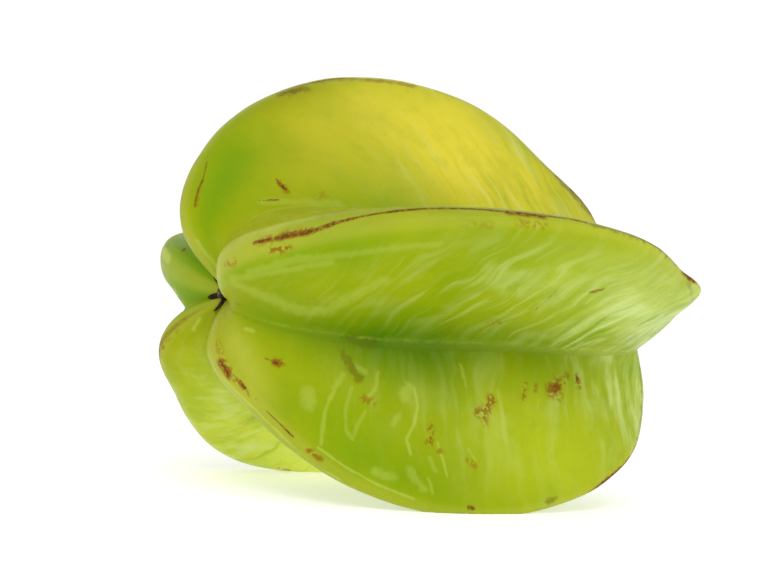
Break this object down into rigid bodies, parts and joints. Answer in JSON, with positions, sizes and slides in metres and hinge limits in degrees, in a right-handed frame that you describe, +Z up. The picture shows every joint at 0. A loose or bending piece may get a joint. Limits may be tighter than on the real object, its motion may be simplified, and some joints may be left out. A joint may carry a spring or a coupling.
{
  "type": "star fruit",
  "caption": "Whole ripe-green star fruit with wide waxy ribs, browned crests and a dry calyx remnant, lying on its side.",
  "frame": {"origin": "on the resting surface, under the middle of the fruit's bounding box", "axes": "+X along the fruit's axis from the stem end to the blossom end, laid level but for a dip of about two degrees; +Y away from the side with the front rib; +Z up"},
  "size_m": [0.0868, 0.086, 0.0707],
  "materials": {
    "skin": "waxy semi-gloss green-yellow skin",
    "dry_calyx": "dry, matt, almost black brown",
    "dry_stalk": "dry, matt, greyish brown"
  },
  "bodies": {
    "root": {"fruit": "skin", "calyx_remnant": "dry_calyx", "stem_stub": "dry_stalk"}
  },
  "joints": []
}
